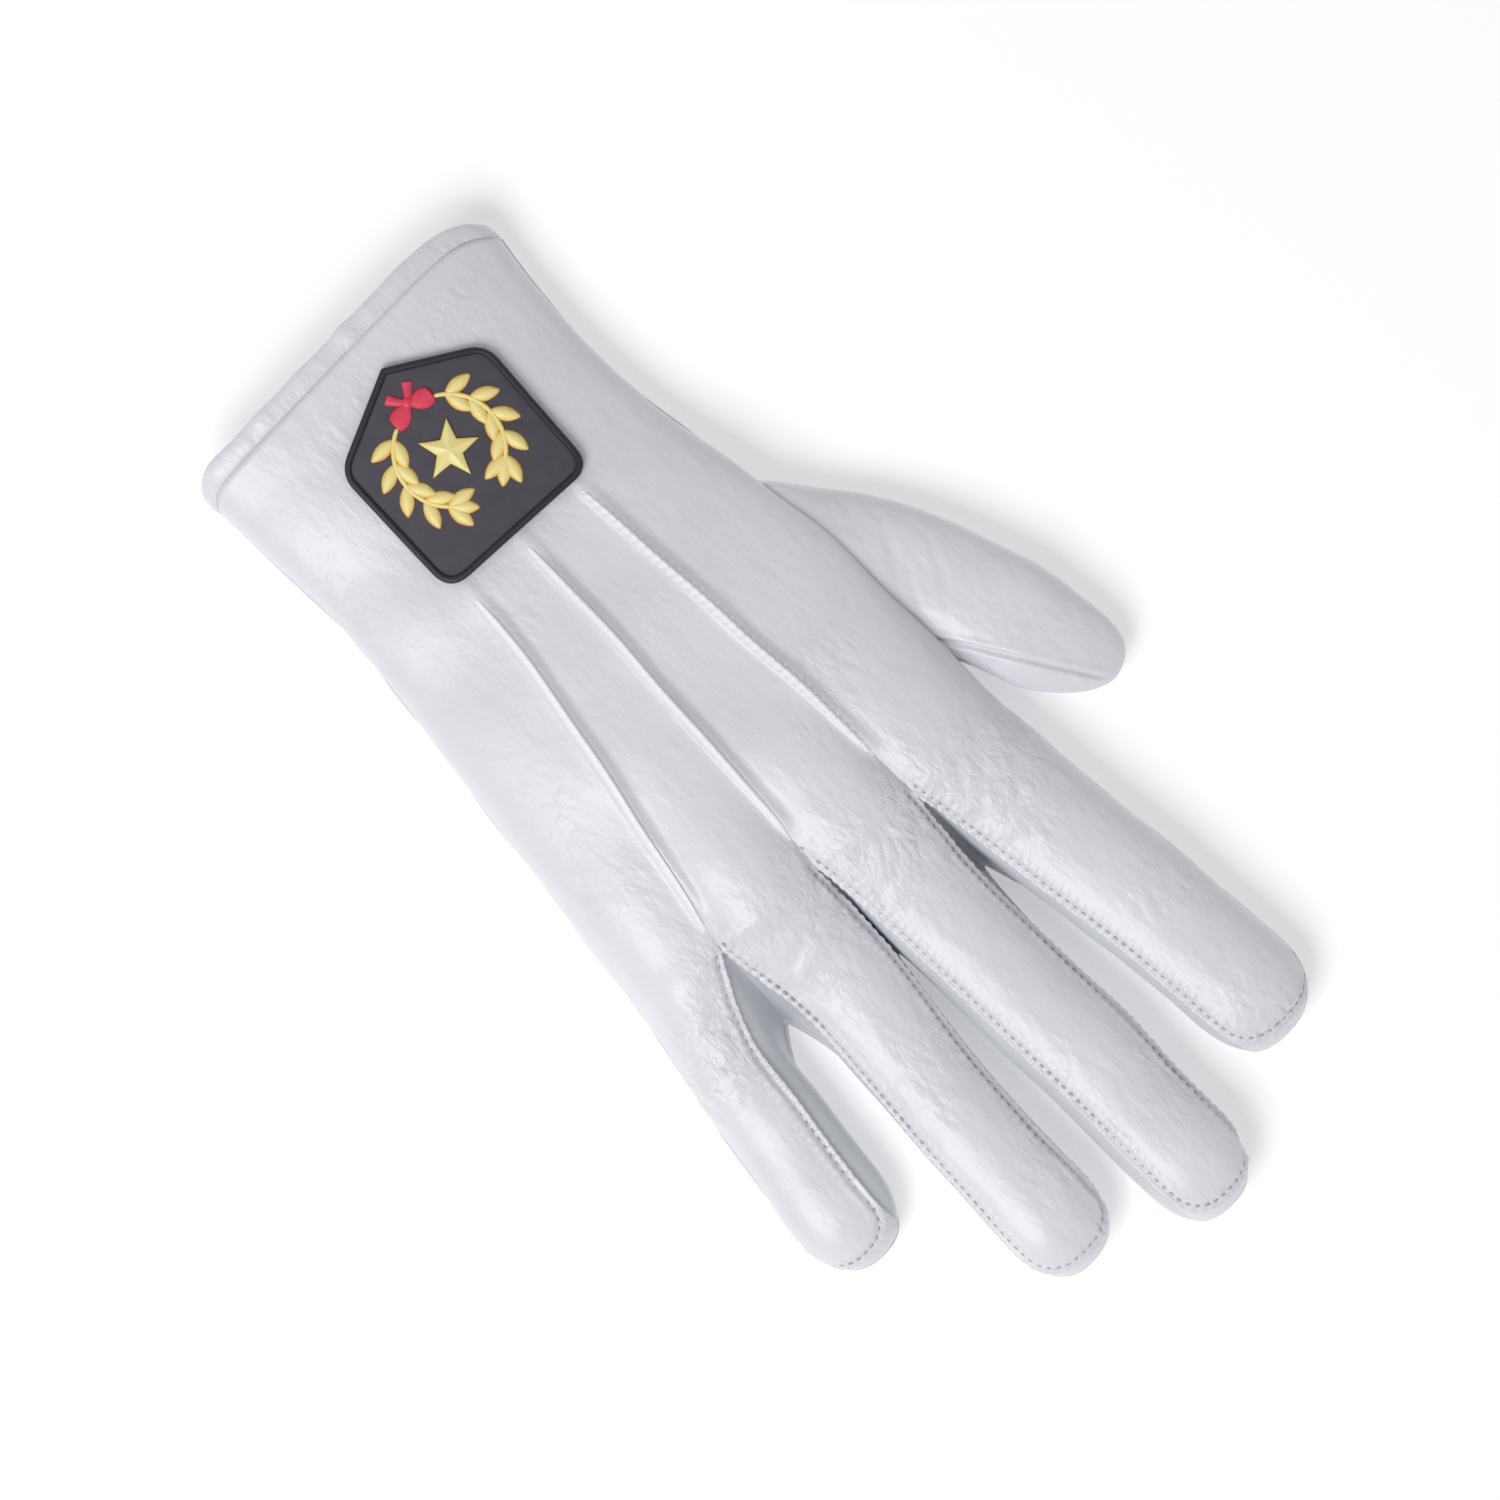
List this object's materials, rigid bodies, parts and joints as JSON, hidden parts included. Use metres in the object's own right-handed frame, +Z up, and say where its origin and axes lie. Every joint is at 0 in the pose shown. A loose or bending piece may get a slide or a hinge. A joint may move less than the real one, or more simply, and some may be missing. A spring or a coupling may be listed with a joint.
{
  "type": "dress glove",
  "caption": "White leather parade glove for the right hand, palm down, with gusseted fingers, raised tucks on the back and a five-cornered badge at the cuff.",
  "frame": {"origin": "middle of the glove's footprint, on the surface that it rests on", "axes": "+Y from the cuff to the fingertips, +X from the thumb to the little finger, +Z up out of the back of the hand"},
  "size_m": [0.1444, 0.2718, 0.0261],
  "materials": {
    "white_leather": "satin, faint lavender grey in the shade",
    "badge_charcoal": "matt",
    "rim_black": "satin",
    "motif_gold": "satin gold",
    "motif_red": "satin red"
  },
  "bodies": {
    "root": {"back": "white_leather", "palm": "white_leather", "thumb": "white_leather", "gusset_index_middle": "white_leather", "gusset_middle_ring": "white_leather", "gusset_ring_little": "white_leather", "cuff_hem": "white_leather", "point_index": "white_leather", "point_middle": "white_leather", "point_little": "white_leather", "badge_base": "badge_charcoal", "badge_rim": "rim_black", "wreath_left": "motif_gold", "wreath_right": "motif_gold", "star": "motif_gold", "ribbon_tie": "motif_red"}
  },
  "joints": []
}
